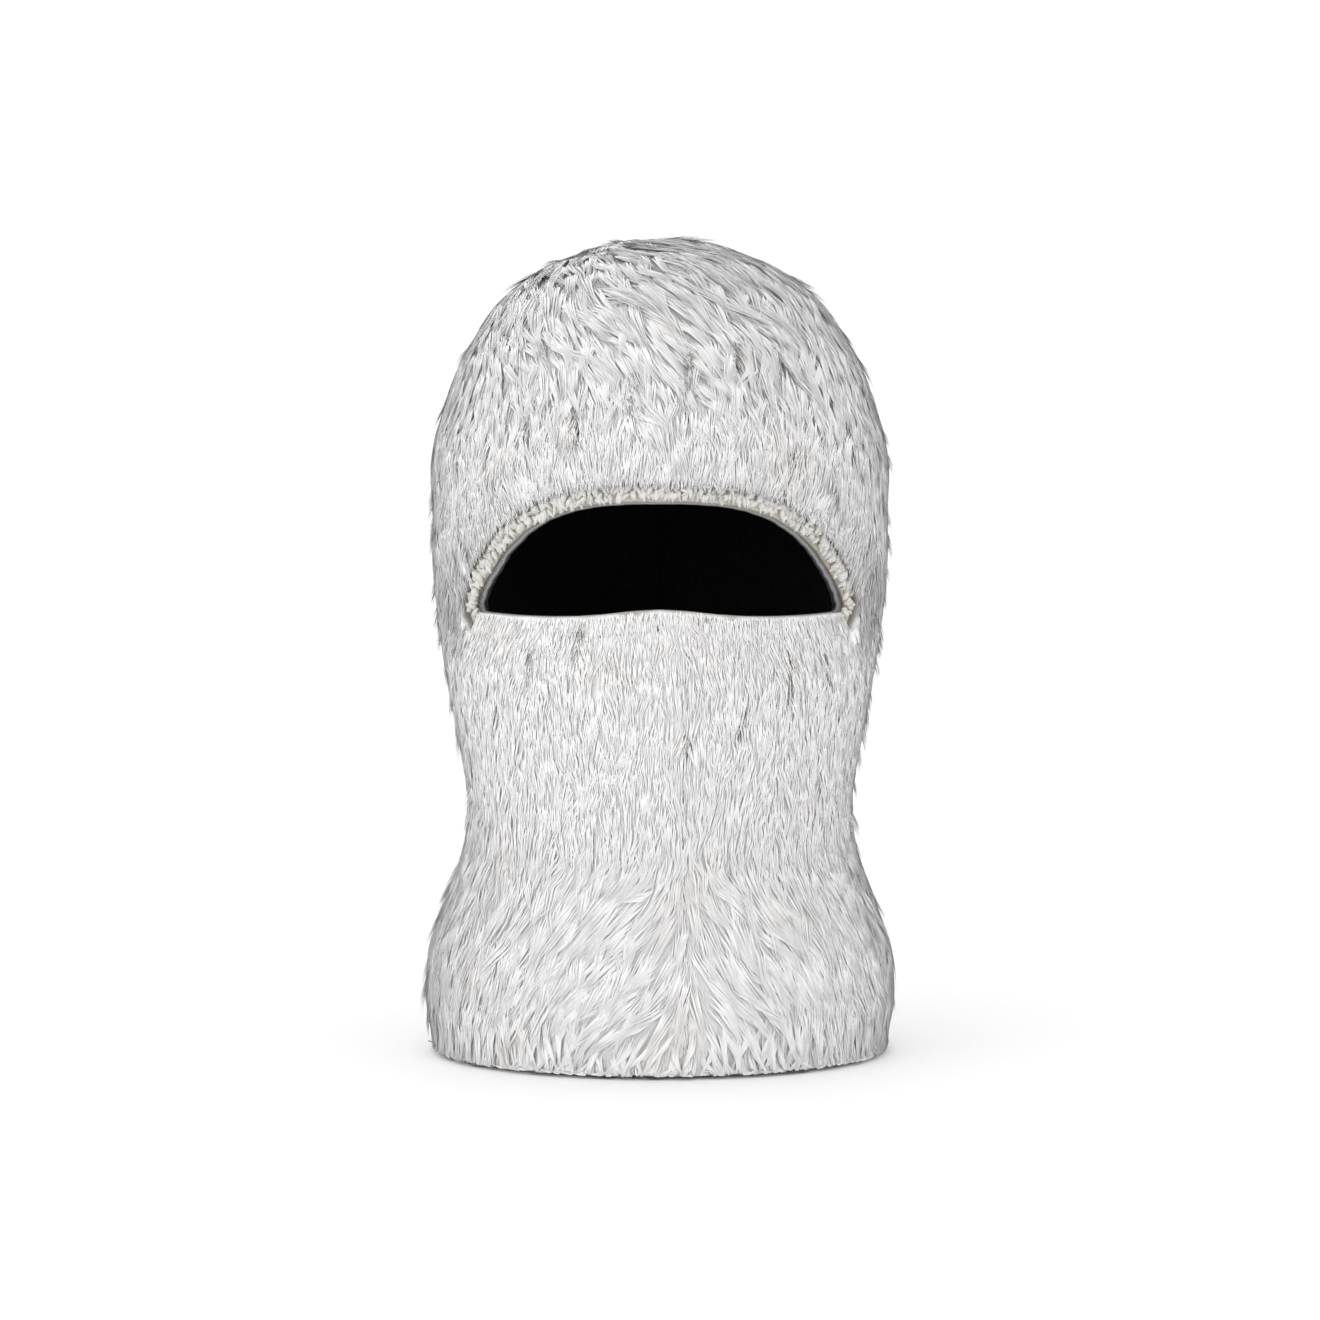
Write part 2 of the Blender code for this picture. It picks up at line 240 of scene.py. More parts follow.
print("eye outline", round(eyeLength, 4))


def aroundEye(place, margin, lift):
    # place runs 0 to 1 round the opening, margin outwards over the face
    place, margin, lift = np.broadcast_arrays(*(np.asarray(v, float) for v in (place, margin, lift)))
    spot = place % 1.0 * eyeSteps
    i0 = np.floor(spot).astype(int) % eyeSteps
    part = (spot - np.floor(spot))[..., None]
    i1 = (i0 + 1) % eyeSteps
    line = eyeLine[i0] * (1 - part) + eyeLine[i1] * part
    away = eyeOut[i0] * (1 - part) + eyeOut[i1] * part
    flat = line + away * margin[..., None]
    return onHead(flat[..., 0] / faceGirth, flat[..., 1], lift)


def eyeDistance(angle, level):
    # distance over the face from the opening's edge
    angle = (angle + math.pi) % math.tau - math.pi
    flat = np.stack([angle * faceGirth, level], -1).reshape(-1, 2)
    nearest = np.full(len(flat), 1.0)
    front = np.abs(flat[:, 0]) < 0.16
    some = flat[front]
    best = np.full(len(some), 1.0)
    for i in range(0, eyeSteps, 4):
        best = np.minimum(best, np.linalg.norm(some - eyeLine[i], axis=1))
    nearest[front] = best
    return nearest.reshape(np.shape(angle))


gapMap = eyeDistance(*np.meshgrid(mapAngles, mapLevels))
for row, column in zip(*np.nonzero(gapMap < 0.05)):
    if inEye(mapAngles[column], mapLevels[row]):
        gapMap[row, column] *= -1
eyeHalf = float(np.abs(eyeLine[:, 0]).max())


def gapAt(angle, level):
    # the same distance read from a map, below zero inside the opening
    return readMap(gapMap, angle, level)


def feed(tree, value, socket):
    # joins a socket to another one, or gives it a plain value
    if isinstance(value, bpy.types.NodeSocket):
        tree.links.new(value, socket)
    else:
        socket.default_value = value


def addNode(tree, kind, inputs, **settings):
    # a node with its settings made and its inputs fed
    node = tree.nodes.new("ShaderNode" + kind)
    for label, value in settings.items():
        setattr(node, label, value)
    for label, value in inputs.items():
        feed(tree, value, node.inputs[label])
    return node


def newGroup(name, inputs, outputs):
    # an empty node group, what comes into it and what goes out of it
    group = bpy.data.node_groups.new(name, "ShaderNodeTree")
    for label, value in inputs.items():
        kind = "NodeSocketFloat" if isinstance(value, float) else "NodeSocketColor"
        group.interface.new_socket(name=label, in_out="INPUT", socket_type=kind).default_value = value
    for label, kind in outputs.items():
        group.interface.new_socket(name=label, in_out="OUTPUT", socket_type="NodeSocket" + kind)
    into, out = group.nodes.new("NodeGroupInput"), group.nodes.new("NodeGroupOutput")
    return group, into.outputs, out.inputs


def newMaterial(name, roughness, sheen=0.0):
    made = bpy.data.materials.new(name)
    made.use_nodes = True
    shader = made.node_tree.nodes["Principled BSDF"]
    shader.inputs["Roughness"].default_value = roughness
    shader.inputs["Sheen Weight"].default_value = sheen
    shader.inputs["Sheen Roughness"].default_value = 0.45
    shader.inputs["Specular IOR Level"].default_value = 0.25
    return made, made.node_tree, shader


def mixColours(tree, factor, low, high):
    inputs = {"Factor": factor, "A": low, "B": high}
    return addNode(tree, "Mix", inputs, data_type="RGBA").outputs["Result"]


def spanOf(tree, value, low, high, toLow=0.0, toHigh=1.0):
    # the stretch from low to high laid over another one
    inputs = {"Value": value, "From Min": low, "From Max": high, "To Min": toLow, "To Max": toHigh}
    return addNode(tree, "MapRange", inputs).outputs["Result"]


def mathNode(tree, operation, *values):
    # one step of arithmetic on sockets or plain numbers
    return addNode(tree, "Math", dict(enumerate(values)), operation=operation).outputs["Value"]


def ownPlace(tree):
    return tree.nodes.new("ShaderNodeTexCoord").outputs["Object"]


def furPlace(tree):
    # a hair's own number and the place along it, or a pelt's tone and the height that sets its painted
    # shade
    place = addNode(tree, "UVMap", {}, uv_map="furMap")
    split = addNode(tree, "SeparateXYZ", {"Vector": place.outputs["UV"]})
    return split.outputs["X"], split.outputs["Y"]


def noiseOf(tree, vector, scale, detail):
    inputs = {"Vector": vector, "Scale": scale, "Detail": detail}
    return addNode(tree, "TexNoise", inputs).outputs["Fac"]


def addBump(tree, shader, height, strength, distance):
    bump = addNode(tree, "Bump", {"Strength": strength, "Distance": distance, "Height": height})
    feed(tree, bump.outputs["Normal"], shader.inputs["Normal"])


def hairToneGroup():
    # hair colour from a lock's own number and the place from root to tip, darker towards the root as
    # painted shade deep in the fur
    group, into, out = newGroup(
        "hairTone",
        {"Lock": 0.5, "Along": 0.5, "Root Colour": (0.6, 0.58, 0.55, 1), "Tip Colour": (0.9, 0.9, 0.9, 1),
         "Warm Colour": (0.85, 0.8, 0.72, 1), "Patch Scale": 40.0},
        {"Colour": "Color", "Roughness": "Float"})
    along = spanOf(group, into["Along"], 0.0, 0.55)
    body = mixColours(group, along, into["Root Colour"], into["Tip Colour"])
    patches = noiseOf(group, ownPlace(group), into["Patch Scale"], 3.0)
    warmed = mixColours(group, spanOf(group, patches, 0.52, 0.75, 0.0, 0.55), body, into["Warm Colour"])
    shade = spanOf(group, into["Lock"], 0.0, 1.0, 0.96, 1.02)
    dimmed = addNode(group, "VectorMath", {0: warmed, "Scale": shade}, operation="SCALE")
    feed(group, dimmed.outputs["Vector"], out["Colour"])
    feed(group, spanOf(group, into["Lock"], 0.0, 1.0, 0.62, 0.9), out["Roughness"])
    return group


def streakGroup():
    # fine downward streaks for the dense fur under the long hair
    group, into, out = newGroup("downStreaks", {"Scale": 900.0, "Stretch": 0.12}, {"Height": "Float"})
    pull = addNode(group, "CombineXYZ", {"X": 1.0, "Y": 1.0, "Z": into["Stretch"]}).outputs["Vector"]
    pulled = addNode(group, "VectorMath", {0: ownPlace(group), 1: pull}, operation="MULTIPLY")
    feed(group, noiseOf(group, pulled.outputs["Vector"], into["Scale"], 4.0), out["Height"])
    return group


def knitGroup():
    # rows of knitted loops round the head: wales across and courses up
    group, into, out = newGroup(
        "knitLoops", {"Wales": 150.0, "Courses": 420.0}, {"Height": "Float", "Fleck": "Float"})
    place = ownPlace(group)
    spot = addNode(group, "SeparateXYZ", {"Vector": place}).outputs
    turn = mathNode(group, "ARCTAN2", spot["X"], spot["Y"])
    wale = mathNode(group, "SINE", mathNode(group, "MULTIPLY", turn, into["Wales"]))
    stagger = mathNode(group, "MULTIPLY", wale, 1.3)
    course = mathNode(group, "MULTIPLY", spot["Z"], into["Courses"])
    course = mathNode(group, "MULTIPLY", course, math.tau)
    course = mathNode(group, "SINE", mathNode(group, "ADD", course, stagger))
    total = mathNode(group, "ADD", mathNode(group, "MULTIPLY", wale, 0.6),
                     mathNode(group, "MULTIPLY", course, 0.25))
    feed(group, mathNode(group, "ADD", mathNode(group, "MULTIPLY", total, 0.5), 0.5), out["Height"])
    feed(group, noiseOf(group, place, 260.0, 3.0), out["Fleck"])
    return group


def twillGroup():
    # fine slanting ribs of a woven tape or a covered cord
    group, into, out = newGroup("twillRibs", {"Scale": 1100.0}, {"Height": "Float", "Fleck": "Float"})
    place = ownPlace(group)
    inputs = {"Vector": place, "Scale": into["Scale"], "Distortion": 1.2, "Detail": 2.0}
    ribs = addNode(group, "TexWave", inputs, bands_direction="DIAGONAL")
    feed(group, ribs.outputs["Fac"], out["Height"])
    feed(group, noiseOf(group, place, 320.0, 3.0), out["Fleck"])
    return group


hairTone, downStreaks, knitLoops, twillRibs = hairToneGroup(), streakGroup(), knitGroup(), twillGroup()


def hairMaterial(name, shadedRootColour, tipColour, warmColour):
    made, tree, shader = newMaterial(name, 0.8, 0.15)
    lock, along = furPlace(tree)
    inputs = {"Lock": lock, "Along": along, "Root Colour": shadedRootColour, "Tip Colour": tipColour,
              "Warm Colour": warmColour, "Patch Scale": 38.0}
    tone = addNode(tree, "Group", inputs, node_tree=hairTone)
    feed(tree, tone.outputs["Colour"], shader.inputs["Base Color"])
    feed(tree, tone.outputs["Roughness"], shader.inputs["Roughness"])
    return made


def peltMaterial(name, lowShadeColour, topColour, scale):
    # dense fur: darker in its low parts, its parted seams and its streaks' grooves as painted shade, pale
    # on top, streaked downwards
    made, tree, shader = newMaterial(name, 0.9, 0.15)
    height = addNode(tree, "Group", {"Scale": scale}, node_tree=downStreaks).outputs["Height"]
    depth = spanOf(tree, furPlace(tree)[1], 0.30, 0.85)
    # the streaks darken the colour in their grooves: painted shade
    streak = mathNode(tree, "ADD", mathNode(tree, "MULTIPLY", height, 0.5), 0.7)
    shade = mathNode(tree, "MULTIPLY", depth, streak)
    feed(tree, mixColours(tree, shade, lowShadeColour, topColour), shader.inputs["Base Color"])
    addBump(tree, shader, height, 0.6, 0.0006)
    return made


def foldMaterial(name, values, lowColour, highColour, foldShadeColour):
    # a folded tape, darker in its twill's grooves as painted shade, whose inner half is painted
    # near-black as shade inside the eye opening
    made, tree, shader = newMaterial(name, 0.75, 0.2)
    height = addNode(tree, "Group", values, node_tree=twillRibs).outputs["Height"]
    # the twill's grooves are darker: painted shade
    face = mixColours(tree, height, lowColour, highColour)
    inner = spanOf(tree, furPlace(tree)[1], 4.6, 6.0)
    feed(tree, mixColours(tree, inner, face, foldShadeColour), shader.inputs["Base Color"])
    addBump(tree, shader, height, 0.7, 0.0002)
    return made


def clothMaterial(name, group, values, lowColour, highColour, roughness, sheen, relief):
    # a knitted or woven cloth: its group gives the relief and the colour's small changes; the relief's
    # hollows are darkened as painted shade
    made, tree, shader = newMaterial(name, roughness, sheen)
    weave = addNode(tree, "Group", values, node_tree=group)
    height = weave.outputs["Height"]
    # the colour follows the relief, darker in its hollows as painted shade, plus the flecks' random tone
    shade = mathNode(tree, "ADD", mathNode(tree, "MULTIPLY", height, 0.6),
                     mathNode(tree, "MULTIPLY", weave.outputs["Fleck"], 0.4))
    feed(tree, mixColours(tree, shade, lowColour, highColour), shader.inputs["Base Color"])
    addBump(tree, shader, height, 0.7, relief)
    return made


# each root colour is darker than its tip colour as painted shade deep in the fur
furWhite = hairMaterial("furWhite", (0.91, 0.90, 0.89, 1), (0.93, 0.925, 0.925, 1),
                        (0.91, 0.885, 0.855, 1))
creamTuft = hairMaterial("creamTuft", (0.26, 0.23, 0.19, 1), (0.70, 0.69, 0.66, 1),
                         (0.66, 0.64, 0.59, 1))
# the first colour of each pelt is painted shade for its low parts and parted seams
underFur = peltMaterial("underFur", (0.40, 0.37, 0.34, 1), (0.90, 0.895, 0.89, 1), 700.0)
creamGround = peltMaterial("creamGround", (0.20, 0.17, 0.13, 1), (0.60, 0.56, 0.48, 1), 900.0)
# the last colour is painted shade: the tape's inner half near-black inside the eye opening
greyTape = foldMaterial("greyTape", {"Scale": 1100.0}, (0.30, 0.30, 0.31, 1), (0.50, 0.50, 0.51, 1),
                        (0.010, 0.010, 0.010, 1))
paleTape = clothMaterial("paleTape", twillRibs, {"Scale": 900.0}, (0.50, 0.49, 0.47, 1),
                         (0.72, 0.71, 0.69, 1), 0.75, 0.2, 0.0002)
ribKnit = clothMaterial("ribKnit", knitLoops, {"Wales": 150.0, "Courses": 400.0}, (0.42, 0.38, 0.32, 1),
                        (0.72, 0.67, 0.59, 1), 0.9, 0.2, 0.0006)
blackJersey = clothMaterial("blackJersey", knitLoops, {"Wales": 420.0, "Courses": 900.0},
                            (0.006, 0.006, 0.0065, 1), (0.018, 0.018, 0.019, 1), 0.92, 0.03, 0.0003)
elasticCover = clothMaterial("elasticCover", twillRibs, {"Scale": 1800.0}, (0.55, 0.55, 0.53, 1),
                             (0.80, 0.80, 0.78, 1), 0.6, 0.1, 0.0002)
sewingThread = clothMaterial("sewingThread", twillRibs, {"Scale": 2400.0}, (0.60, 0.59, 0.56, 1),
                             (0.82, 0.81, 0.78, 1), 0.5, 0.1, 0.0001)
# dark brown strands: painted shadow in the gaps of the fur
groundYarn = clothMaterial("groundYarn", twillRibs, {"Scale": 2400.0}, (0.10, 0.08, 0.06, 1),
                           (0.30, 0.25, 0.20, 1), 0.8, 0.1, 0.0001)
print("materials done")


def outFrom(points):
    # straight out of the head at each point
    out = points.copy()
    out[:, 2] = np.maximum(points[:, 2] - domeHeight, 0)
    return out / np.maximum(np.linalg.norm(out, axis=1)[:, None], 1e-9)


def placeOf(points):
    # where points lie on the map, and how far above the knit's outer face
    flat = np.hypot(points[:, 0], points[:, 1])
    above = np.maximum(points[:, 2] - domeHeight, 0)
    angle = np.arctan2(points[:, 0], -points[:, 1])
    level = np.where(above > 0, domeHeight + np.arctan2(above, flat) * domeReach, points[:, 2])
    start = ringOf(angle, level)[0]
    return angle, level, np.linalg.norm(points - start, axis=1) - reachAt(angle, level)


def pointsOf(mesh):
    flat = np.empty(len(mesh.vertices) * 3, np.float32)
    mesh.vertices.foreach_get("co", flat)
    return flat.reshape(-1, 3).astype(float)


def setPoints(mesh, points):
    mesh.vertices.foreach_set("co", points.astype(np.float32).reshape(-1))
    mesh.update()


def softCopy(node, name, cuts):
    # a CAD solid's own copy, merged into one mesh and divided finely enough to shape
    makeActive(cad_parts[node])
    bpy.ops.object.duplicate()
    piece = bpy.context.active_object
    piece.name = name
    piece.parent = None
    for key in list(piece.keys()):
        del piece[key]
    bpy.ops.object.mode_set(mode="EDIT")
    bpy.ops.mesh.select_all(action="SELECT")
    bpy.ops.mesh.remove_doubles(threshold=0.00002)
    bpy.ops.mesh.tris_convert_to_quads(face_threshold=0.35, shape_threshold=0.7)
    bpy.ops.mesh.subdivide(number_cuts=cuts)
    bpy.ops.object.mode_set(mode="OBJECT")
    for layer in list(piece.data.uv_layers):
        piece.data.uv_layers.remove(layer)
    piece.data.materials.clear()
    piece.data.shade_smooth()
    return piece


def meshOf(name, vertices, corner, sizes, uv):
    mesh = bpy.data.meshes.new(name)
    mesh.vertices.add(len(vertices))
    mesh.vertices.foreach_set("co", vertices.astype(np.float32).reshape(-1))
    mesh.loops.add(len(corner))
    mesh.loops.foreach_set("vertex_index", corner.astype(np.int32))
    mesh.polygons.add(len(sizes))
    starts = np.r_[0, np.cumsum(sizes)[:-1]]
    mesh.polygons.foreach_set("loop_start", starts.astype(np.int32))
    layer = mesh.uv_layers.new(name="furMap")
    layer.data.foreach_set("uv", uv.astype(np.float32).reshape(-1))
    mesh.update(calc_edges=True)
    mesh.validate()
    mesh.shade_smooth()
    made = bpy.data.objects.new(name, mesh)
    bpy.context.scene.collection.objects.link(made)
    return made


def softenNormals(piece, normals):
    # light falls on fur as on the body under it, so its hairs lean their normals outwards
    old = piece.data.attributes.get("custom_normal")
    if old:
        piece.data.attributes.remove(old)
    layer = piece.data.attributes.new("custom_normal", "FLOAT_VECTOR", "POINT")
    layer.data.foreach_set("vector", normals.astype(np.float32).reshape(-1))
    piece.data.update()


def ownNormals(piece):
    flat = np.empty(len(piece.data.vertices) * 3, np.float32)
    piece.data.vertices.foreach_get("normal", flat)
    return flat.reshape(-1, 3)


def joinInto(piece, others):
    # one by one, so that the faces come in the same order each time
    for other in others:
        makeActive(piece)
        other.select_set(True)
        bpy.ops.object.join()


def finishPiece(piece, node, finish=None):
    if finish:
        piece.data.materials.append(finish)
    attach(piece, "root")
    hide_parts(node)


fur = {
    "lockSpacing": 0.0047,       # between the middles of neighbouring locks
    "hairsPerLock": 17,
    "lockSpread": 0.0032,        # how wide a lock is at its roots
    "gather": 0.62,              # how much a lock's tips draw together
    "hairWidth": 0.00048,
    "downSpacing": 0.00098,      # between the short hairs under the locks
    "downWidth": 0.00062,
    "downLength": 0.0085,
    "peltShare": 0.91,           # share of the pile that is too dense to see into, where it lies smooth
    "lockDepth": 0.11,           # and how much less where it hangs in locks
    "strays": 0.08,              # share of the locks whose tips stand out
    "seamDip": 0.0004,           # how far the dense fur sinks along a seam
    "partingDip": 0.0026,        # and where the seam is parted
    "wander": 0.16,              # radians that neighbouring locks differ by
    "flatness": 0.45,            # thickness of a hair as a share of its width
    "softNormal": 0.94,          # how far hair normals lean towards the head's own
    "rounding": 0.30,            # how far the light turns from one edge of a lock to the other
    "seed": 7,
}
columnCount = len([name for name in nodeNames if name.startswith(("hood_fur_", "brow_fur_"))])
columnAngle = math.tau / columnCount
eyeMiddle = float(eyeLine[:, 1].mean())
rimBare = 0.0012                        # nothing grows nearer than this to the eye opening


def seamShare(angle):
    # place across a column of fur, -0.5 and 0.5 at its two seams
    return (angle / columnAngle + 0.5) % 1.0 - 0.5


def partingAt(points, angle, level):
    # where the columns part and the seam between them shows, in short stretches
    front = smoothStep(0.35, 0.75, np.cos(angle))
    reach = smoothStep(0.115, 0.15, level) * (1 - smoothStep(0.315, 0.345, level))
    return smoothStep(0.15, 0.75, waves(points, 0.034, 21)) * front * reach


def flowAt(angle, level):
    # lie of the fur: radians away from straight down, growing to +X seen from the front
    angle = (angle + math.pi) % math.tau - math.pi
    front = smoothStep(-0.1, 0.5, np.cos(angle))
    crown = smoothStep(0.265, 0.33, level)
    lean = 0.50 * crown * front * (1 - smoothStep(0.25, 0.9, angle))
    parting = 0.116
    side = np.tanh((angle - parting) / 0.07)
    chin = smoothStep(0.012, 0.035, level) * (1 - smoothStep(0.075, 0.10, level)) * front
    spread = np.exp(-np.abs(angle - parting) / 0.6)
    return lean + chin * side * spread * np.where(side < 0, 0.95, 0.60)


def lockiness(angle, level):
    # 1 where the fur hangs in separate locks, 0 where it lies smooth
    front = smoothStep(-0.2, 0.6, np.cos(angle))
    crown = smoothStep(0.25, 0.30, level)
    chest = 1 - smoothStep(0.07, 0.11, level)
    middle = smoothStep(0.55, 0.95, np.cos(angle))
    return np.clip(0.25 + 0.75 * front * np.maximum(crown, chest * middle), 0, 1)


def roomAt(angle, level, gap):
    # over the eye opening the hair hangs towards it and stops short of its rim
    angle = (angle + math.pi) % math.tau - math.pi
    over = (level > eyeMiddle - 0.005) & (np.abs(angle) * faceGirth < eyeHalf - 0.002)
    return np.where(over, np.maximum(gap - 0.0075, 0.0042), 1.0)


def lengthAt(angle, level, gap):
    # length of the hair at some levels up the hood, shorter near the eye opening
    length = np.interp(level, [0, 0.02, 0.06, 0.09, 0.13, 0.20, 0.27, 0.33, topLevel],
                       [0.015, 0.022, 0.023, 0.016, 0.013, 0.014, 0.017, 0.023, 0.020])
    return np.minimum(length * (0.55 + 0.45 * smoothStep(0.006, 0.030, gap)), roomAt(angle, level, gap))


def liftAt(level, gap):
    # full depth of the fur, shorter by the rims and fuller on the shoulders of the crown
    full = 1 + 0.22 * smoothStep(0.235, 0.265, level) * (1 - smoothStep(0.345, 0.375, level))
    return pile * full * (0.24 + 0.81 * smoothStep(-0.003, 0.028, gap))


def layersAt(angle, level):
    # top of the dense fur that the hair lies on, and top of the hair
    top = liftAt(level, gapAt(angle, level))
    return top * (fur["peltShare"] - fur["lockDepth"] * lockiness(angle, level)), top


def scatter(spacing, rng):
    angles, levels = [], []
    for level in np.arange(spacing * 0.9, topLevel, spacing):
        girth = float(girthAt(np.array([0.8]), np.array([level]))[0])
        count = max(int(girth * math.tau / spacing), 3)
        spots = (np.arange(count) + rng.uniform(0, 1)) / count * math.tau
        angles.append(spots + rng.uniform(-0.45, 0.45, count) * spacing / girth)
        levels.append(level + rng.uniform(-0.5, 0.5, count) * spacing)
    angle, level = np.concatenate(angles), np.concatenate(levels)
    keep = (level > 0.0015) & (level < topLevel - 0.001)
    return angle[keep], level[keep]


def ownedRoots(angle, level):
    # roots of hair, each with the strip of fur that it grows from
    hits = castIn(furTree, angle, level, rayLength)
    owner = np.array([furOwners[hit[2]] if hit[0] is not None else "" for hit in hits])
    kept = owner != ""
    angle, level, owner = angle[kept], level[kept], owner[kept]
    return {"angle": angle, "level": level, "owner": owner, "gap": eyeDistance(angle, level)}


locks = ownedRoots(*scatter(fur["lockSpacing"], np.random.default_rng(fur["seed"])))
down = ownedRoots(*scatter(fur["downSpacing"], np.random.default_rng(fur["seed"] + 100)))
print("roots", len(locks["angle"]), "locks", len(down["angle"]), "short hairs")

# dark strands that stand for painted shadow in the gaps between the columns and along the lower rim
fleck = {
    "seamCount": 5200,
    "rimCount": 150,
    "length": 0.0034,
    "width": 0.00026,
    "drift": 0.0016,             # how far from a seam they stray
    "least": 0.30,               # how far a seam must be parted before they show
}


def fleckRoots(rng):
    count = fleck["seamCount"]
    seam = np.round(rng.uniform(-3.5, 3.5, count)) + 0.5
    level = rng.uniform(0.10, 0.31, count)
    angle = seam * columnAngle + rng.normal(0, fleck["drift"] / faceGirth, count)
    parted = partingAt(onHead(angle, level, 0.0), angle, level)
    kept = parted > fleck["least"] + rng.uniform(0, 0.6, count)
    spots = eyeLine[rng.integers(0, eyeSteps, fleck["rimCount"])]
    sill = spots[spots[:, 1] < eyeMiddle - 0.012]
    margin = rng.uniform(0.0012, 0.0035, len(sill))
    rimAngle = sill[:, 0] / faceGirth
    return ownedRoots(np.r_[angle[kept], rimAngle], np.r_[level[kept], sill[:, 1] - margin])


def fleckHairs(pick, rng):
    angle, level, gap = (flecks[key][pick] for key in ("angle", "level", "gap"))
    total = len(angle)
    length = fleck["length"] * rng.uniform(0.35, 1.5, total)
    heading = flowAt(angle, level) + rng.normal(0, 0.28, total)
    around = angle + np.sin(heading) * length / girthAt(angle, level)
    height = level - np.cos(heading) * length
    over = 1 + 0.25 * smoothStep(0.012, 0.004, gap)
    tips = onHead(around, height, layersAt(around, height)[1] * over * rng.uniform(0.97, 1.03, total))
    roots = onHead(angle, level, layersAt(angle, level)[1] * over * 0.95)
    tone = rng.uniform(0, 1, total)
    return straightHairs(roots, tips, tone, fleck["width"] * rng.uniform(0.6, 1.4, total))


flecks = fleckRoots(np.random.default_rng(fur["seed"] + 5))
print("flecks", len(flecks["angle"]))


def settle(level):
    # hair at the hem ends on the ground that the hood stands on
    return np.where(level < 0.0009, 0.0009 + 0.12 * np.abs(level), level)


def lockHairs(pick, rng):
    # three points along every hair of the picked locks
    count = fur["hairsPerLock"]
    angle, level, gap = (locks[key][pick] for key in ("angle", "level", "gap"))
    centres = onHead(angle, level, 0.0)
    parting = partingAt(centres, angle, level)
    bunched = lockiness(angle, level)
    heading = flowAt(angle, level) - 0.4 * parting * seamShare(angle)
    heading += (0.5 + 0.5 * bunched) * fur["wander"] * waves(centres, 0.030, 3)
    hem = 1 - smoothStep(0.020, 0.042, level)
    heading += rng.normal(0, 0.05, len(pick)) + rng.normal(0, 0.10, len(pick)) * bunched
    length = lengthAt(angle, level, gap) * rng.uniform(0.8, 1.25, len(pick))
    length *= 0.8 + 0.2 * bunched
    stray = (rng.uniform(0, 1, len(pick)) < fur["strays"]) * rng.uniform(0.3, 1.0, len(pick))
    fall = 1 - 0.35 * rng.uniform(0, 1, len(pick)) * bunched
    curl = rng.normal(0, 0.10, len(pick)) + rng.normal(0, 0.14, len(pick)) * bunched
    tone = 0.5 + (rng.uniform(0, 1, len(pick)) - 0.5) * (0.25 + 0.75 * bunched)
    gather = fur["gather"] * (0.35 + 0.65 * bunched) + 0.25 * hem
    spread = fur["lockSpread"] * (1.25 - 0.25 * bunched - 0.35 * hem)
    values = (angle, level, heading, length, fall, curl, tone, gather, spread, stray, bunched)
    angle, level, heading, length, fall, curl, tone, gather, spread, stray, bunched = (
        np.repeat(v, count) for v in values)
    total = len(angle)
    girth = girthAt(angle, level)
    aside = spread * np.sqrt(rng.uniform(0, 1, total))
    turn = rng.uniform(0, math.tau, total)
    rootAcross, rootUp = aside * np.cos(turn), aside * np.sin(turn)
    hairLength = length * rng.uniform(0.72, 1.08, total)
    fall = fall * rng.uniform(0.95, 1.03, total)
    points = []
    for along, rise in ((0.0, -0.4), (0.42, 0.74), (1.0, 1.0)):
        drawn = 1 - gather * along**0.8
        bend = heading + curl * along
        around = angle + (rootAcross * drawn + np.sin(bend) * hairLength * along) / girth
        height = settle(level + rootUp * drawn - np.cos(bend) * hairLength * along)
        bed, top = layersAt(around, height)
        reach = bed + (top - bed) * fall * rise + 0.22 * pile * stray * along**2
        points.append(onHead(around, height, np.maximum(reach, 0.0014)))
    kept = gapAt(angle + rootAcross / girth, level + rootUp) > rimBare
    tone = np.clip(tone + rng.normal(0, 0.10, total), 0, 1)
    # a lock catches the light as one rounded feather
    tilt = fur["rounding"] * (0.3 + 0.7 * bunched) * rootAcross / spread
    bias = np.stack([np.cos(angle) * tilt, np.sin(angle) * tilt, 0 * tilt], 1)
    return np.stack(points, 1)[kept], tone[kept], bias[kept]


def downHairs(pick, rng):
    # root and tip of the short straight hairs that fill in under the locks
    angle, level, gap = (down[key][pick] for key in ("angle", "level", "gap"))
    roots = onHead(angle, level, 0.0)
    girth = girthAt(angle, level)
    parting = partingAt(roots, angle, level)
    seamGap = (0.5 - np.abs(seamShare(angle))) * columnAngle * girth
    kept = seamGap > 0.0011 * parting * rng.uniform(0.3, 1.3, len(pick))
    kept &= gapAt(angle, level) > rimBare
    angle, level, gap, girth, parting = (v[kept] for v in (angle, level, gap, girth, parting))
    total = len(angle)
    heading = flowAt(angle, level) - 0.4 * parting * seamShare(angle)
    heading += 0.5 * fur["wander"] * waves(roots[kept], 0.012, 5) + rng.normal(0, 0.16, total)
    length = fur["downLength"] * rng.uniform(0.7, 1.25, total)
    length = np.minimum(length, roomAt(angle, level, gap) + 0.001)
    around = angle + np.sin(heading) * length / girth
    height = settle(level - np.cos(heading) * length)
    bed, top = layersAt(around, height)
    tips = onHead(around, height, np.maximum(bed + (top - bed) * rng.uniform(0.15, 0.55, total), 0.0016))
    roots = onHead(angle, level, np.maximum(layersAt(angle, level)[0] - 0.0004, 0.0014))
    return roots, tips, np.clip(rng.normal(0.5, 0.2, total), 0, 1)


# both kinds of hair are closed and three-sided: one bends at its middle, one is straight
bentPattern = [(0, 1, 2), (0, 2, 3), (0, 3, 1), (1, 4, 2), (2, 4, 3), (3, 4, 1)]
straightPattern = [(0, 1, 2), (0, 3, 1), (1, 3, 2), (2, 3, 0)]


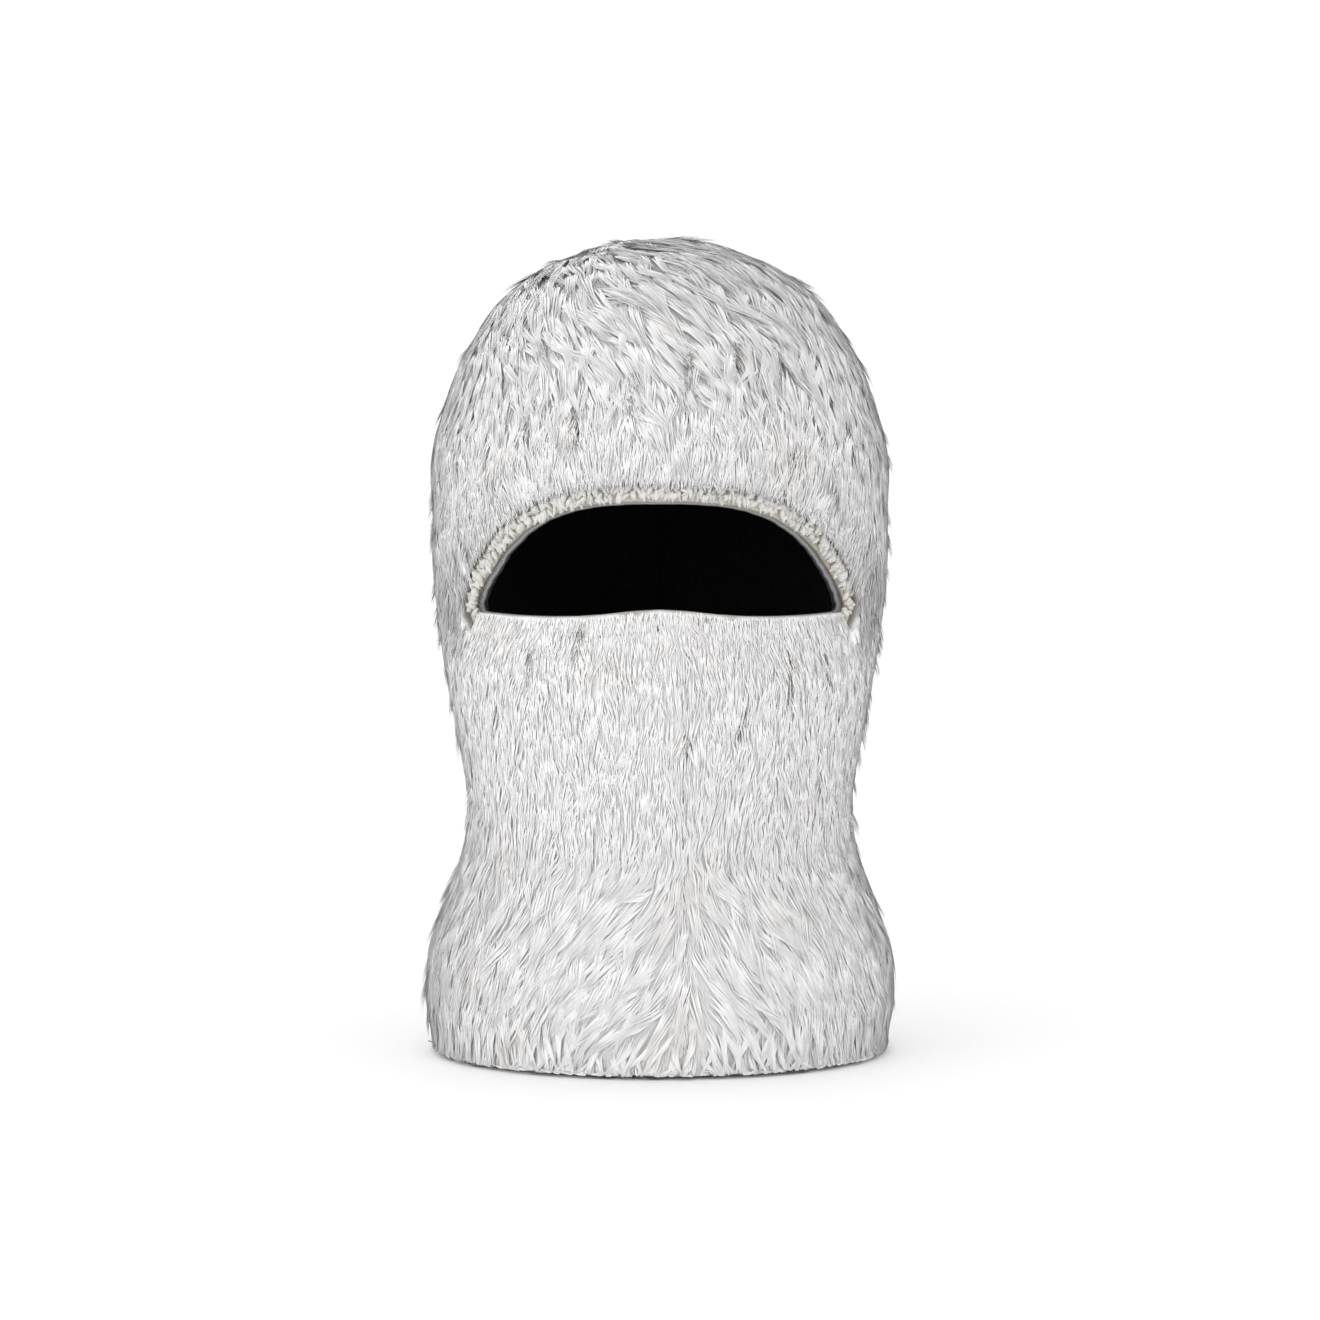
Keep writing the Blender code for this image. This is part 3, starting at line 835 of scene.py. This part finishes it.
def hairsFrom(root, middle, tip, width, tone, along, bias=0.0):
    # the hairs' points, faces, map and softened normals; a straight one has its ring at its root
    bent = middle is not None
    centre = middle if bent else root
    out = outFrom(centre)
    facing = out + bias
    run = tip - root
    run /= np.linalg.norm(run, axis=1)[:, None]
    side = np.cross(run, out)
    side /= np.maximum(np.linalg.norm(side, axis=1)[:, None], 1e-9)
    up = np.cross(side, run)
    corners, normals = ([root], [up]) if bent else ([], [])
    for turn in (math.pi * 3 / 2, math.pi / 6, math.pi * 5 / 6):
        aside = side * math.cos(turn) + up * math.sin(turn) * fur["flatness"]
        corners.append(centre + aside * (width / 2)[:, None])
        normals.append(aside)
    corners.append(tip)
    normals.append(up)
    soft = fur["softNormal"]
    lean = np.stack(normals, 1) * (1 - soft) + facing[:, None, :] * soft
    lean /= np.linalg.norm(lean, axis=2)[:, :, None]
    pattern = bentPattern if bent else straightPattern
    sizes = np.full(len(root) * len(pattern), 3)
    flat = np.array(pattern).reshape(-1)
    corner = (np.arange(len(root))[:, None] * len(corners) + flat[None, :]).reshape(-1)
    uv = np.stack([np.repeat(tone, len(flat)), np.tile(np.array(along)[flat], len(root))], 1)
    return np.stack(corners, 1).reshape(-1, 3), corner, sizes, uv, lean.reshape(-1, 3)


def bentHairs(points, tone, width, bias):
    # the root end takes the darker root colour: painted shade deep in the fur
    along = (0.1, 0.55, 0.55, 0.55, 1.0)
    return hairsFrom(points[:, 0], points[:, 1], points[:, 2], width, tone, along, bias)


# the root ring takes the darker root colour: painted shade deep in the fur
def straightHairs(roots, tips, tone, width, rootShadeAlong=0.25):
    return hairsFrom(roots, None, tips, width, tone, (rootShadeAlong, rootShadeAlong, rootShadeAlong, 0.9))


def together(parts):
    # several lots of hair as one
    starts = np.cumsum([0] + [len(part[0]) for part in parts[:-1]])
    moved = [(part[0], part[1] + start, *part[2:]) for part, start in zip(parts, starts)]
    return [np.concatenate(lot) for lot in zip(*moved)]


def hairPiece(name, parts, finish):
    vertices, corners, sizes, uv, normals = together(parts)
    piece = meshOf(name, vertices, corners, sizes, uv)
    softenNormals(piece, normals)
    piece.data.materials.append(finish)
    return piece


# the eye opening's rims
rim = {
    "rows": ((0.25, 0.0046), (0.66, 0.0058)),      # place across the rim and height of each row of tufts
    "stitchCount": 300,
    "stitchWidth": 0.0024,
    "stitchDepth": 0.0034,
    "tilt": 0.45,                # radians that tufts lean at random
    "roughness": 0.13,           # how lumpy a tuft is
    "width": 0.0094,
    "barShare": 0.20,            # how much of the rim's thickness its ground keeps
    "foldShows": 0.0009,         # width of the smooth fold left bare under the arch
    "upperHairs": 4200,
    "flecks": 420,
}
bindingLift = 0.0011


def underPelt(node, finish):
    # the dense fur under the long hair: the CAD strip, thinned, woolly and closed up at its seams
    pelt = softCopy(node, node + "Pelt", 1)
    mesh = pelt.data
    points = pointsOf(mesh)
    angle, level, lift = placeOf(points)
    parting = partingAt(points, angle, level)
    raised = smoothStep(0.30 * pile, 0.60 * pile, lift)
    edge = smoothStep(0.26, 0.49, np.abs(seamShare(angle)))
    bed = layersAt(angle, level)[0]
    top = bed - edge * (fur["seamDip"] + fur["partingDip"] * parting)
    top = top + waves(points, 0.008, 11) * 0.00035
    newLift = lift * (1 - raised) * bed / pile + top * raised
    if node.endswith("rim"):
        newLift = np.where(lift > bindingLift, bindingLift + (lift - bindingLift) * rim["barShare"], lift)
    elif node != "crown_tuft":
        angle = angle - columnAngle * seamShare(angle) * edge * (0.03 * parting - 0.022)
    start, out = ringOf(angle, level)
    setPoints(mesh, start + out * (reachAt(angle, level) + newLift)[:, None])
    mesh.materials.append(finish)
    # low places and parted seams take the darker pelt colour: painted shade
    depth = np.clip(raised * (1 - edge * parting), 0, 1)
    tone = np.clip(0.5 + 0.5 * waves(points, 0.012, 12), 0, 1)
    loop = np.empty(len(mesh.loops), np.int32)
    mesh.loops.foreach_get("vertex_index", loop)
    layer = mesh.uv_layers.new(name="furMap")
    layer.data.foreach_set("uv", np.stack([tone[loop], depth[loop]], 1).astype(np.float32).reshape(-1))
    softenNormals(pelt, ownNormals(pelt))
    return pelt


hairRng = np.random.default_rng(fur["seed"] + 1)
faces = 0
for node in furNodes:
    hairs, tone, bias = lockHairs(np.nonzero(locks["owner"] == node)[0], hairRng)
    width = fur["hairWidth"] * hairRng.uniform(0.7, 1.3, len(hairs))
    lots = [bentHairs(hairs, tone, width, bias)]
    roots, tips, tone = downHairs(np.nonzero(down["owner"] == node)[0], hairRng)
    width = fur["downWidth"] * hairRng.uniform(0.7, 1.3, len(roots))
    lots.append(straightHairs(roots, tips, tone, width))
    words = node.split("_")
    name = words[0] + "".join(word.capitalize() for word in words[1:])
    piece = hairPiece(name, lots, furWhite)
    others = [underPelt(node, underFur)]
    picked = np.nonzero(flecks["owner"] == node)[0]
    if len(picked):
        others.append(hairPiece(name + "Flecks", [fleckHairs(picked, hairRng)], groundYarn))
    joinInto(piece, others)
    finishPiece(piece, node)
    faces += sum(len(face.vertices) - 2 for face in piece.data.polygons)
print("fur", len(furNodes), "pieces", faces, "triangles")


def frameAround(place, margin, lift):
    # a point on the rim with its directions along the edge, away from it and out of the face
    step = 0.0006
    point = aroundEye(place, margin, lift)
    share = step / eyeLength
    along = aroundEye(place + share, margin, lift) - aroundEye(place - share, margin, lift)
    away = aroundEye(place, margin + step, lift) - aroundEye(place, margin - step, lift)
    along /= np.linalg.norm(along, axis=-1)[..., None]
    away -= along * (away * along).sum(-1)[..., None]
    away /= np.linalg.norm(away, axis=-1)[..., None]
    out = np.cross(along, away)
    flip = np.where((out * point).sum(-1) < 0, -1.0, 1.0)
    return point, along, away, out * flip[..., None]


def evenPlaces(count, margin):
    # places spaced evenly round the opening at this margin
    fine = np.linspace(0, 1, 1441)
    line = aroundEye(fine, margin, 0.0)
    length = np.r_[0, np.cumsum(np.linalg.norm(np.diff(line, axis=0), axis=1))]
    return np.interp(np.arange(count) / count * length[-1], length, fine)


def onArch(place):
    # 1 on the arch over the eyes, 0 on the sill under them
    return eyeOut[(np.round(place * eyeSteps) % eyeSteps).astype(int), 1] > -0.6


def oneStitch():
    # one plump tuft, drawn to a softer point at its lower end
    deselectAll()
    bpy.ops.mesh.primitive_uv_sphere_add(segments=8, ring_count=6, radius=0.5, location=(0, 0, 0))
    stitch = bpy.context.active_object
    bpy.ops.object.mode_set(mode="EDIT")
    bpy.ops.mesh.select_all(action="DESELECT")
    bpy.ops.object.mode_set(mode="OBJECT")
    for vertex in stitch.data.vertices:
        vertex.select = vertex.co.z < -0.2
    bpy.ops.object.mode_set(mode="EDIT")
    bpy.ops.transform.resize(value=(0.6, 0.8, 1.1))
    bpy.ops.mesh.select_all(action="SELECT")
    bpy.ops.mesh.quads_convert_to_tris()
    bpy.ops.object.mode_set(mode="OBJECT")
    points = pointsOf(stitch.data)
    corners = np.array([list(face.vertices) for face in stitch.data.polygons])
    bpy.data.objects.remove(stitch)
    return points, corners


def stitchRow(rng, share, tall):
    # one row of tufts along the arch, all of them different
    points, corners = oneStitch()
    places = evenPlaces(rim["stitchCount"], rim["width"] / 2)
    places = places[onArch(places)]
    count = len(places)
    middle = eyeLine[(np.round(places * eyeSteps) % eyeSteps).astype(int), 0]
    bare = rim["foldShows"] * smoothStep(-0.035, 0.005, middle) * (1 - smoothStep(0.085, 0.10, middle))
    inner = 0.0004 + bare
    height = tall * rng.uniform(0.7, 1.2, count)
    margin = inner + (rim["width"] - inner) * share + rng.normal(0, 0.0006, count)
    lift = bindingLift + 0.0017 + rng.uniform(-0.0006, 0.0008, count)
    jitter = rng.normal(0, 0.0009, count) / eyeLength
    centre, along, away, out = frameAround(places + jitter, margin, lift)
    lean = rng.normal(0.12, rim["tilt"], count)[:, None]
    across = along * np.cos(lean) + away * np.sin(lean)
    upward = away * np.cos(lean) - along * np.sin(lean)
    width = rim["stitchWidth"] * rng.uniform(0.65, 1.4, count)
    depth = rim["stitchDepth"] * rng.uniform(0.7, 1.15, count)
    shape = points[None, :, :] * np.stack([width, depth, height], 1)[:, None, :]
    shape *= 1 + rim["roughness"] * rng.normal(0, 1, shape.shape[:2])[:, :, None]
    placed = (centre[:, None] + across[:, None] * shape[:, :, :1] + out[:, None] * shape[:, :, 1:2]
              + upward[:, None] * shape[:, :, 2:])
    corner = (corners[None] + (np.arange(count) * len(points))[:, None, None]).reshape(-1)
    tone = np.repeat(rng.uniform(0, 1, count), corners.size)
    # the side of each tuft towards the head takes the dark root colour: painted shade under the tufts
    reach = np.tile((points[:, 1] + 0.5)[corners.reshape(-1)], count)
    uv = np.stack([tone, 0.2 + 0.8 * reach], 1)
    row = meshOf("stitches", placed.reshape(-1, 3), corner, np.full(count * len(corners), 3), uv)
    row.data.materials.append(creamTuft)
    softenNormals(row, ownNormals(row))
    return row


def rimHairs(rng):
    # short hairs standing along the arch, combed over its tufts
    places = rng.uniform(0, 1, rim["upperHairs"] * 3)
    places = places[onArch(places)][:rim["upperHairs"]]
    total = len(places)
    margin = 0.0030 + (rim["width"] - 0.0018) * rng.uniform(0, 1, total)
    reach = 0.0034 * rng.uniform(0.6, 1.3, total)
    swing = rng.normal(0, 0.45, total) * reach / eyeLength
    roots = aroundEye(places, margin, bindingLift + 0.0004)
    tips = aroundEye(places + swing, np.maximum(margin - 0.75 * reach, 0.0018),
                     bindingLift + 0.0030 * rng.uniform(0.6, 1.2, total))
    tones = np.clip(rng.normal(0.4, 0.2, total), 0, 1)
    # their roots take the darkest root colour: painted shade between the tufts
    return straightHairs(roots, tips, tones, 0.00042 * rng.uniform(0.7, 1.3, total), 0.1)


def rimFlecks(rng):
    # dark strands between the tufts: painted shadow in the gaps
    places = rng.uniform(0, 1, rim["flecks"])
    places = places[onArch(places)]
    total = len(places)
    margin = rim["width"] * rng.uniform(0.35, 1.15, total)
    reach = 0.0030 * rng.uniform(0.5, 1.3, total)
    swing = rng.normal(0, 0.6, total) * reach / eyeLength
    lift = bindingLift + 0.0036 + 0.0006 * rng.uniform(-1, 1, total)
    roots = aroundEye(places, margin, lift)
    tips = aroundEye(places + swing, margin - reach, lift)
    tone = rng.uniform(0, 1, total)
    return straightHairs(roots, tips, tone, fleck["width"] * rng.uniform(0.6, 1.3, total))


rimRng = np.random.default_rng(fur["seed"] + 2)
upperRim = hairPiece("upperEyeRim", [rimHairs(rimRng)], creamTuft)
joinInto(upperRim, [stitchRow(rimRng, *row) for row in rim["rows"]] + [
    underPelt("upper_eye_rim", creamGround), hairPiece("rimFlecks", [rimFlecks(rimRng)], groundYarn)])
finishPiece(upperRim, "upper_eye_rim")
print("upper rim", len(upperRim.data.polygons), "faces")


# the folded tapes round the eye opening and the hem
tape = {
    "wall": 0.0008,
    "reach": 0.0085,
    "stations": 240,
    "hemStations": 168,
    "pucker": 0.00022,
}


def foldLine(outer, inner, nose, wall, reach):
    # a U from the outer leaf round the edge to the inner leaf, out along its face and back inside
    line = [(reach, outer), (reach * 0.6, outer), (nose * 0.7, outer)]
    middle, half = (outer + inner) / 2, (outer - inner) / 2
    tight = half * 0.62
    for step in range(7):
        turn = math.pi / 2 + math.pi * step / 6
        line.append((nose * 0.35 + nose * 0.35 * math.cos(turn), middle + tight * math.sin(turn)))
    line += [(nose * 0.8, inner + half * 0.2), (reach * 0.6, inner), (reach, inner)]
    back = [(reach, inner + wall), (reach * 0.6, inner + wall), (nose * 1.1, inner + half * 0.2 + wall)]
    for step in range(5):
        turn = math.pi * 3 / 2 - math.pi * step / 4
        back.append((nose * 0.35 + wall + (nose * 0.35 - wall * 0.4) * math.cos(turn),
                     middle + (tight - wall) * math.sin(turn)))
    back += [(nose * 0.9, outer - wall), (reach * 0.6, outer - wall), (reach, outer - wall)]
    return line + back


def closedTube(name, grid):
    # a grid of points that runs round both ways, with its places in the grid as its map
    rows, columns = grid.shape[:2]
    index = np.arange(rows * columns).reshape(rows, columns)
    right, below = np.roll(index, -1, 1), np.roll(index, -1, 0)
    corner = np.stack([index, below, np.roll(below, -1, 1), right], -1).reshape(-1)
    spots = np.stack(np.meshgrid(np.arange(rows), np.arange(columns), indexing="ij"), -1)
    uv = np.stack([spots, spots + [1, 0], spots + [1, 1], spots + [0, 1]], 2).reshape(-1, 2)
    piece = meshOf(name, grid.reshape(-1, 3), corner, np.full(rows * columns, 4), uv)
    makeActive(piece)
    bpy.ops.object.mode_set(mode="EDIT")
    bpy.ops.mesh.select_all(action="SELECT")
    bpy.ops.mesh.normals_make_consistent(inside=False)
    bpy.ops.object.mode_set(mode="OBJECT")
    return piece


def tapeAround(name, places, pointAt, section, ripples, innerShare):
    # a folded tape whose section follows an edge, a little puckered by its elastic
    outerPoints = 10
    rows = []
    for i, (margin, lift) in enumerate(section):
        ripple = tape["pucker"] * np.sin(ripples + 0.3 * i) * (1 if i < outerPoints else innerShare)
        rows.append(pointAt(places, margin, lift + ripple))
    return closedTube(name, np.stack(rows, 1))


def atHem(angle, margin, lift):
    return onHead(angle, margin + 0.0001, lift)


eyePlaces = evenPlaces(tape["stations"], 0.001)
eyeBinding = tapeAround("eyeBinding", eyePlaces, aroundEye,
                        foldLine(0.0009, -0.0043, 0.0036, tape["wall"], tape["reach"]),
                        eyePlaces * math.tau * 58, 0.4)
finishPiece(eyeBinding, "eye_binding", greyTape)
hemAngles = np.linspace(0, math.tau, tape["hemStations"], endpoint=False)
hemBinding = tapeAround("hemBinding", hemAngles, atHem,
                        foldLine(0.0009, -0.0042, 0.0030, tape["wall"], tape["reach"]),
                        hemAngles * 42, 1)
finishPiece(hemBinding, "hem_binding", paleTape)
print("tapes done")


# the cloth layers under the fur
cloth = {
    "knitWall": 0.0018,
    "liningLift": -0.0026,
    "liningWall": 0.0009,
    "wrinkle": 0.0014,
    "seamTurn": 0.0020,
}


def clothLayer(node, name, cuts, outer, wall, wrinkle):
    # both faces of a cloth layer laid smoothly over the head's shape
    piece = softCopy(node, name, cuts)
    points = pointsOf(piece.data)
    angle, level, lift = placeOf(points)
    inside = lift < outer - wall / 2
    fold = wrinkle * (0.5 + 0.5 * waves(points * [1, 1, 0.45], 0.042, 17))
    fold *= smoothStep(0.010, 0.030, level) * smoothStep(0.010, 0.030, eyeDistance(angle, level))
    newLift = outer - fold - wall * inside
    atSeam = np.minimum(np.abs(angle), np.pi - np.abs(angle)) < 0.02
    if wrinkle:
        newLift = newLift - cloth["seamTurn"] * atSeam * smoothStep(0.010, 0.030, level)
        angle = np.where(atSeam, np.where(np.abs(angle) < 1, 0.0, math.pi) * np.sign(angle), angle)
    start, out = ringOf(angle, level)
    setPoints(piece.data, start + out * (reachAt(angle, level) + newLift)[:, None])
    return piece


def clothArea(piece):
    # one face of the cloth
    return sum(face.area for face in piece.data.polygons) / 2


knitBase = clothLayer("knit_base", "knitBase", 1, 0.0, cloth["knitWall"], 0.0)
finishPiece(knitBase, "knit_base", ribKnit)
for side in ("left", "right"):
    half = clothLayer("lining_" + side, "lining" + side.capitalize(), 2, cloth["liningLift"],
                      cloth["liningWall"], cloth["wrinkle"])
    finishPiece(half, "lining_" + side, blackJersey)
    print("lining area", round(clothArea(half), 4))
print("knit area", round(clothArea(knitBase), 4))

for node, finish in (("eye_elastic", elasticCover), ("hem_elastic", elasticCover),
                     ("crown_gather_thread", sewingThread)):
    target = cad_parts[node]
    target.data.materials.clear()
    target.data.materials.append(finish)


# stage, camera and light
stage = {
    "cameraDistance": 1.15,
    "cameraHeight": 0.1725,
    "viewWidth": 0.589,          # width seen at the object's middle
    "floorColour": (0.97, 0.97, 0.97, 1),
    "worldStrength": 1.05,
    "keyPower": 10.0,
    "fillPower": 1.5,
}

deselectAll()
bpy.ops.object.camera_add(location=(0.0, -stage["cameraDistance"], stage["cameraHeight"]),
                          rotation=(math.pi / 2, 0, 0))
camera = bpy.context.active_object
camera.name = "camera"
camera.data.sensor_width = 36.0
camera.data.lens = 36.0 * stage["cameraDistance"] / stage["viewWidth"]
bpy.context.scene.camera = camera

deselectAll()
bpy.ops.mesh.primitive_plane_add(size=12.0, location=(0, 0, -0.0005))
floor = bpy.context.active_object
floor.name = "floor"
floorPaint, _, floorShader = newMaterial("floorPaint", 0.8)
floorShader.inputs["Base Color"].default_value = stage["floorColour"]
floor.data.materials.append(floorPaint)


def softLight(name, place, size, power):
    bpy.ops.object.light_add(type="AREA", location=place)
    lamp = bpy.context.active_object
    lamp.name = name
    lamp.data.shape = "DISK"
    lamp.data.size = size
    lamp.data.energy = power
    aim = Vector((0, 0, 0.19)) - Vector(place)
    lamp.rotation_euler = aim.to_track_quat("-Z", "Y").to_euler()


softLight("keyLight", (-1.3, -1.4, 0.80), 2.4, stage["keyPower"])
softLight("fillLight", (1.0, -1.2, 0.80), 1.4, stage["fillPower"])
world = bpy.data.worlds.new("studio")
world.use_nodes = True
world.node_tree.nodes["Background"].inputs["Color"].default_value = (1, 1, 1, 1)
world.node_tree.nodes["Background"].inputs["Strength"].default_value = stage["worldStrength"]
bpy.context.scene.world = world
bpy.context.scene.view_settings.view_transform = "Standard"
bpy.context.scene.view_settings.look = "None"
print("stage ready")
